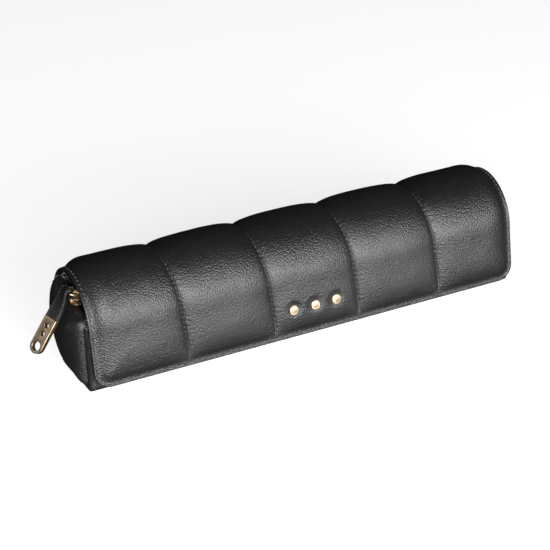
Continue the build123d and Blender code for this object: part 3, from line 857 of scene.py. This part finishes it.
def makeBack():
    across = stations(-case["half"], case["half"], back["meshAcross"], back["rim"])
    along = squareStart(stations(0, backTrack.length, back["meshAlong"], back["rim"]))
    skin = sheetOver("backSkin", across, along, backPoint, back["thickness"])
    pads = [f"back_pad_{number}" for number in range(1, 6)]
    stands = ["base_cover", "front_wall", "spine_leather", *pads]
    finished(skin, finishes["leather"], stands=stands, blend=lidBend)
    rows = []
    for number, seam in enumerate(seamPlaces):
        places = np.arange(quiltStart - 4, quiltEnd, quilt["stitchPitch"])
        x = np.full(len(places), seam + flap["driftTop"])
        rows.append(backStitches(f"backSeam{number}", x, places))
    finished(joined(rows, "backSeamStitches"), finishes["thread"], blend=lidBend)
    sides = []
    for side in (-1, 1):
        places = np.arange(3, backTrack.length - 2, quilt["stitchPitch"])
        x = np.full(len(places), side * (case["half"] - back["rimStitch"]))
        sides.append(backStitches(f"rim{side}", x, places))
    finished(joined(sides, "backRimStitches"), finishes["thread"], blend=lidBend)


def makeRim(side, name):
    # leather turned over the board and lining at each end
    low, high = back["rimDepth"]

    def point(depth, run):
        across = np.clip((2 * depth - low - high) / (high - low), -1, 1)
        x = side * (case["half"] + 0.1 + back["rimBulge"] * np.sqrt(1 - across ** 2))
        y, z = backTrack.at(run, -depth)
        return np.stack([x, y, z], -1)

    across = stations(low, high, 0.5, 0.4)
    along = np.arange(0, backTrack.length, back["meshAlong"])
    rim = sheetOver(f"caseRim{name}", across, along, point, back["rimThickness"], side > 0)
    finished(rim, finishes["edge"], blend=lidBend)


def backStitches(name, x, places):
    spots = backPoint(x, places, 0.05)
    headings = backPoint(x, places + 0.3, 0.05) - backPoint(x, places - 0.3, 0.05)
    outs = backTrack.outs(places)
    seen = outs[:, 2] > -0.6  # none under the case, where it stands
    return stitchLine(name, spots[seen], headings[seen], outs[seen], "back")


makeBack()
makeRim(-1, "Left")
makeRim(1, "Right")
print("back made")


# ends: pillow-like leather panels inside the rims

endPanel = {
    "boardX": 145.0, "bulge": 10.4, "centre": (-1.5, 31.0), "roundness": 0.8, "spread": 0.9, "inset": -0.15,
    "wrap": 2.5, "depth": 3.7, "topEdge": [(-20.6, 46.6), (-6.0, 50.5), (3.4, 54.4), (13.5, 60.0)],
    "rim": 26.0, "rimAngle": 52, "soften": 3, "wrinkle": 1.6, "wrinklePace": 2.2,
}


def endOutline():
    # the panel's outline, going round once
    depth = endPanel["depth"]
    turn = radians(endPanel["rimAngle"])
    track = Track(-1)
    rimStart = (endPanel["rim"] * cos(turn), case["topZ"] + endPanel["rim"] * sin(turn))
    front = case["frontY"] + depth
    corners = [(front, depth), (front, case["frontTop"]), *endPanel["topEdge"], rimStart]
    for start, end in zip(corners, corners[1:]):
        track.line(start, end)
    track.arc((0, case["topZ"]), endPanel["rim"], endPanel["rimAngle"], 0)
    track.line((endPanel["rim"], case["topZ"]), (case["topRadius"] - depth, case["backZ"]))
    reach = case["backRadius"] - depth
    endY = case["backY"] + sqrt(reach ** 2 - (case["backZ"] - depth) ** 2)
    lowTurn = -atan2(case["backZ"] - depth, endY - case["backY"]) * 180 / pi
    track.arc((case["backY"], case["backZ"]), reach, 0, lowTurn)
    track.line((endY, depth), (front, depth))
    return np.array(track.points)


def outlineReach(angles):
    # distance from the panel's centre to its outline in each direction
    line = endOutline() - np.array(endPanel["centre"])
    turns = np.arctan2(line[:, 1], line[:, 0])
    order = np.argsort(turns)
    turns, reach = turns[order], np.hypot(*line.T)[order]
    even = np.linspace(-pi, pi, 721)[:-1]
    level = np.interp(even, turns, reach, period=2 * pi)
    window = endPanel["soften"]
    wrapped = np.concatenate([level[-window:], level, level[:window]])
    level = np.convolve(wrapped, np.ones(2 * window + 1) / (2 * window + 1), "valid")
    return np.interp(angles, even, level, period=2 * pi) - endPanel["inset"]


def makeEnd(side, name):
    nothingPicked()
    bpy.ops.mesh.primitive_uv_sphere_add(segments=160, ring_count=80, radius=1)
    pillow = named(f"endPillow{name.capitalize()}")
    ball = readPoints(pillow)
    height, spread = ball[:, 2], np.hypot(ball[:, 0], ball[:, 1])
    angle = np.arctan2(ball[:, 1], ball[:, 0])
    # a dome above the board, and an edge that wraps round behind it
    wrapped = np.where(height > 0, spread, (1 - np.abs(height) ** 8) ** 0.5)
    reach = outlineReach(angle) * wrapped ** endPanel["spread"]
    y = endPanel["centre"][0] + reach * np.cos(angle)
    z = endPanel["centre"][1] + reach * np.sin(angle)
    crest = endPanel["bulge"] * np.maximum(height, 0) ** endPanel["roundness"]
    pace = endPanel["wrinklePace"]
    crest = crest + creasing(y * pace, z * pace) * endPanel["wrinkle"] * np.clip(height * 3, 0, 1)
    x = endPanel["boardX"] + np.where(height > 0, crest, endPanel["wrap"] * height)
    writePoints(pillow, np.stack([side * x, y, z], 1) * mm)
    facingOut(pillow)
    smoothed(pillow, 60)
    stands = [f"end_panel_{name}", f"end_pad_{name}"]
    finished(pillow, finishes["leather"], "case_base", stands)


for side, name in ((-1, "left"), (1, "right")):
    makeEnd(side, name)
print("ends made")


# zip facings: leather strips on both sides of the zip

facing = {
    "half": 142.2, "edge": 4.5, "top": 1.45, "thickness": 1.15, "rim": 0.45,
    "rearThickness": 1.05, "frontHinge": (-25.0, 44.8), "frontBlend": 2.0, "bend": (-17.2, 52.6),
    "rearBend": 18.0, "rearJoin": 52.0, "rearDepth": 3.55, "meshAcross": 3.0, "meshAlong": 2.0,
    "stitchInset": 2.0, "stitchPitch": 2.8,
}


def facingSkin(name, track, thickness, stands, blend):
    half = facing["half"]
    across = stations(-half, half, facing["meshAcross"], facing["rim"])
    along = stations(0, track.length, facing["meshAlong"], facing["rim"])

    def point(x, run):
        edge = np.minimum(half - np.abs(x), np.minimum(run, track.length - run))
        y, z = track.at(run, 0.35 * creasing(x, run * 2) - rolled(edge, facing["rim"]))
        return np.stack([x, y, z], -1)

    skin = sheetOver(name, across, along, point, thickness, track.outSide > 0)
    finished(skin, finishes["leather"], None, stands, blend)


def trackStitches(name, track, body):
    # one row beside the zip
    x = np.arange(-facing["half"] + 3, facing["half"] - 3, facing["stitchPitch"])
    runs = np.full(len(x), track.length - facing["stitchInset"])
    spots = np.stack([x, *track.at(runs, 0.06)], 1)
    headings = np.tile([1.0, 0, 0], (len(x), 1))
    line = stitchLine(name, spots, headings, track.outs(runs), "facing")
    finished(line, finishes["thread"], body)


def makeFacings():
    frontTrack = Track(-1)
    frontTrack.line((case["frontY"] + 0.4, 42.6), (-24.9, 45.2))
    frontTrack.line((-24.9, 45.2), facing["bend"])
    frontTrack.line(facing["bend"], zipPoint(-facing["edge"], facing["top"]))
    frontTrack.ready(4.0)
    hinge = Vector((0, *facing["frontHinge"])) * mm
    lean = Vector((0, 0.55, 0.83)).normalized()
    reach = facing["frontBlend"]
    frontBend = ("case_base", "front_top", *acrossCrease(hinge, lean, reach, reach))
    facingSkin("frontFacingSkin", frontTrack, facing["thickness"], ["front_facing"], frontBend)
    trackStitches("frontFacingStitches", frontTrack, "front_top")

    rearTrack = Track(1)
    join = onTop(facing["rearJoin"], facing["rearDepth"])
    bend = zipPoint(facing["rearBend"], facing["top"])
    rearTrack.arc((0, case["topZ"]), case["topRadius"] - facing["rearDepth"], 4, facing["rearJoin"])
    rearTrack.line(join, bend)
    rearTrack.line(bend, zipPoint(facing["edge"], facing["top"]))
    rearTrack.ready(4.0)
    reach = back["blendReach"]
    rearBend = ("case_base", "rear_lid", *acrossCrease(lidPivot, Vector((0, 0, 1)), reach, reach))
    facingSkin("rearFacingSkin", rearTrack, facing["rearThickness"], ["rear_facing"], rearBend)
    trackStitches("rearFacingStitches", rearTrack, "rear_lid")


makeFacings()
print("facings made")


# hard parts: the frame's own shape, merged, with its edges broken

def softenedCopy(node, name, width, finish, body, segments=3):
    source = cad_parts[node]
    nothingPicked()
    copy = bpy.data.objects.new(name, source.data.copy())
    bpy.context.scene.collection.objects.link(copy)
    copy.hide_render = False
    edited(copy, (bpy.ops.mesh.remove_doubles, {"threshold": 0.004 * mm}),
           (bpy.ops.mesh.dissolve_limited, {"angle_limit": radians(2)}),
           (bpy.ops.mesh.normals_make_consistent, {"inside": False}))
    if width:
        modified(copy, "BEVEL", width=width * mm, segments=segments, limit_method="ANGLE",
                 angle_limit=radians(32), use_clamp_overlap=True)
    smoothed(copy, 40)
    return finished(copy, finish, body, [node])


teeth = {
    "pitch": 2.75, "count": 99, "length": 1.3, "inner": 0.65, "outer": 3.2, "half": 1.1, "edge": 0.28,
    "cordPlace": 3.15, "cordRadius": 0.8, "cordLength": 275,
}


def makeTeeth(side, name, body):
    middle = side * (teeth["inner"] + teeth["outer"]) / 2
    y, z = zipPoint(middle)
    startX = side * teeth["pitch"] / 4 - teeth["pitch"] * (teeth["count"] - 1) / 2
    nothingPicked()
    bpy.ops.mesh.primitive_cube_add(size=1)
    tooth = named(f"zipTeeth{name.capitalize()}")
    tooth.scale = (teeth["length"] * mm, (teeth["outer"] - teeth["inner"]) * mm, 2 * teeth["half"] * mm)
    settled(tooth)
    modified(tooth, "BEVEL", width=teeth["edge"] * mm, segments=1, limit_method="NONE")
    tooth.rotation_euler = Euler((radians(case["zipTilt"]), 0, 0))
    tooth.location = (startX * mm, y * mm, z * mm)
    settled(tooth)
    modified(tooth, "ARRAY", count=teeth["count"], use_relative_offset=False, use_constant_offset=True,
             constant_offset_displace=(teeth["pitch"] * mm, 0, 0))
    smoothed(tooth, 50)
    finished(tooth, finishes["gold"], body, [f"zip_teeth_{name}"])

    y, z = zipPoint(side * teeth["cordPlace"])
    nothingPicked()
    radius, length = teeth["cordRadius"] * mm, teeth["cordLength"] * mm
    bpy.ops.mesh.primitive_cylinder_add(vertices=12, radius=radius, depth=length,
                                        location=(0, y * mm, z * mm), rotation=(0, pi / 2, 0))
    cord = settled(named(f"zipCord{name.capitalize()}"))
    modified(cord, "BEVEL", width=radius / 2, segments=2, limit_method="ANGLE", angle_limit=radians(60))
    smoothed(cord, 40)
    finished(cord, finishes["tape"], body)


makeTeeth(-1, "front", "front_top")
makeTeeth(1, "rear", "rear_lid")
softenedCopy("zip_slider", "zipSlider", 0.35, finishes["gold"], "slider")
softenedCopy("pull_ring", "pullRing", 0, finishes["gold"], "ring")
tip = softenedCopy("pull_tip", "pullTip", 0.3, finishes["gold"], "pull")
print("zip made")


# pull strap: leather folded over the ring and sewn

strap = {
    "ring": (-149.5, -6.5, 61.2), "lean": 34.0, "length": 18.6, "width": 9.3, "half": 1.2, "eye": 2.25,
    "layer": 1.05, "rim": 0.4, "fold": 6.5, "stitchInset": 1.2, "pitch": 2.3,
    "twist": -27.0, "twistEnd": 15.0,
}


def strapTrack():
    # side view along the strap: down its length, and out from its middle
    track = Track(1)
    along = np.linspace(strap["length"], 0, 60)
    half = strap["half"] + (strap["eye"] - strap["half"]) * (1 - eased(along / strap["fold"]))
    track.points.extend(np.stack([along, half], 1))
    angles = np.linspace(0, pi, 40)
    track.points.extend(np.stack([-strap["eye"] * np.sin(angles), strap["eye"] * np.cos(angles)], 1))
    track.points.extend(np.stack([along, -half], 1)[::-1])
    return track.ready(0.8)


def strapPlace(along, out, y):
    # the strap turns a little about its own length as it hangs
    turn = radians(strap["twist"]) * eased(along / strap["twistEnd"])
    out, y = out * np.cos(turn) - y * np.sin(turn), y * np.cos(turn) + out * np.sin(turn)
    lean = radians(strap["lean"])
    downX, downZ = -sin(lean), -cos(lean)
    outX, outZ = -cos(lean), sin(lean)
    ringX, ringY, ringZ = strap["ring"]
    return np.stack([ringX + along * downX + out * outX, ringY + y, ringZ + along * downZ + out * outZ], -1)


def makeStrap():
    track = strapTrack()
    half = strap["width"] / 2
    across = stations(-half, half, 0.7, strap["rim"])
    along = np.linspace(0, track.length, 110)

    def point(y, run):
        return strapPlace(*track.at(run, -rolled(half - np.abs(y), strap["rim"])), y)

    fold = sheetOver("pullStrap", across, along, point, 0)
    facingOut(fold)
    centre = Vector(strapPlace(strap["length"] / 2, 0.0, 0.0) * mm)
    outward = sum((face.center - centre).dot(face.normal) * face.area for face in fold.data.polygons)
    if outward < 0:
        edited(fold, (bpy.ops.mesh.flip_normals, {}))
    modified(fold, "SOLIDIFY", thickness=strap["layer"] * mm, offset=-1)
    smoothed(fold, 50)
    finished(fold, finishes["strapLeather"], "pull", ["pull_strap"])

    spots, headings, outs = [], [], []
    for y in (-half + strap["stitchInset"], half - strap["stitchInset"]):
        for run in np.arange(1.5, track.length - 1.0, strap["pitch"]):
            here = strapPlace(*track.at(run, 0.05), y)
            spots.append(here)
            headings.append(strapPlace(*track.at(run + 0.2, 0.05), y) - here)
            outs.append(strapPlace(*track.at(run, 1.05), y) - here)
    sewn = stitchLine("pullStrapStitches", spots, headings, outs, "strap")
    finished(sewn, finishes["thread"], "pull")


def turnTip(tip):
    lean = radians(strap["lean"])
    middle = Matrix.Translation(Vector(strap["ring"]) * mm)
    turn = Matrix.Rotation(radians(strap["twist"]), 4, Vector((-sin(lean), 0, -cos(lean))))
    tip.data.transform(middle @ turn @ middle.inverted())


makeStrap()
turnTip(tip)
print("pull made")


# inside: rolls for rings, their bed and the dividers

rolls = {"count": 7, "radius": 5.9, "roundness": 4.0, "fullness": 0.7, "unevenness": 0.012}


def makeRoll(number):
    low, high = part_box(f"ring_roll_{number}")
    centre = (low + high) / 2
    nothingPicked()
    bpy.ops.mesh.primitive_uv_sphere_add(segments=40, ring_count=28, radius=1)
    roll = named(f"ringRoll{number}")
    ball = readPoints(roll)
    lengthways = np.sign(ball[:, 2]) * np.abs(ball[:, 2]) ** rolls["fullness"]
    girth = (1 - np.abs(lengthways) ** rolls["roundness"]) ** (1 / rolls["roundness"])
    angle = np.arctan2(ball[:, 1], ball[:, 0])
    dents = np.sin(3 * angle + number) * np.sin(5 * lengthways + number)
    girth = girth * (1 + rolls["unevenness"] * dents)
    reach = rolls["radius"] * girth
    halfLength = (high.y - low.y) / 2 / mm
    x = centre.x / mm + reach * np.cos(angle)
    y = centre.y / mm + halfLength * lengthways
    z = centre.z / mm + reach * np.sin(angle)
    writePoints(roll, np.stack([x, y, z], 1) * mm)
    facingOut(roll)
    smoothed(roll, 60)
    finished(roll, finishes["suede"], "case_base", [f"ring_roll_{number}"])


def leanedCopy(node, name):
    # the washers and magnets stand out with the flap that holds them
    piece = softenedCopy(node, name, 0, finishes["steel"], "flap")
    points = readPoints(piece)
    share = (case["topZ"] - points[:, 2] / mm) / (case["topZ"] - flap["lowerZ"])
    points[:, 1] -= flap["lean"] * mm * np.clip(share, 0, 1)
    writePoints(piece, points)


for number in range(1, rolls["count"] + 1):
    makeRoll(number)
for node, name in (("stud_washers", "studWashers"), ("flap_magnets", "flapMagnets")):
    leanedCopy(node, name)
bed = softenedCopy("ring_bed", "ringBed", 1.6, finishes["suede"], "case_base", 4)
for number in (1, 2):
    softenedCopy(f"divider_{number}", f"divider{number}", 0.7, finishes["suede"],
                 "case_base")
print("inside made")


# nodes of the frame that keep their own shape

kept = {
    "suede": ["case_lining", "front_facing_lining", "rear_facing_lining",
              "end_lining_left", "end_lining_right"],
    "board": ["case_board", "end_board_left", "end_board_right", "spine_core"],
    "tape": ["zip_tape_front", "zip_tape_rear"],
    "steel": ["keeper_plates"],
}
for finish, nodes in kept.items():
    for node in nodes:
        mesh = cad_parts[node].data
        mesh.materials.clear()
        mesh.materials.append(finishes[finish])
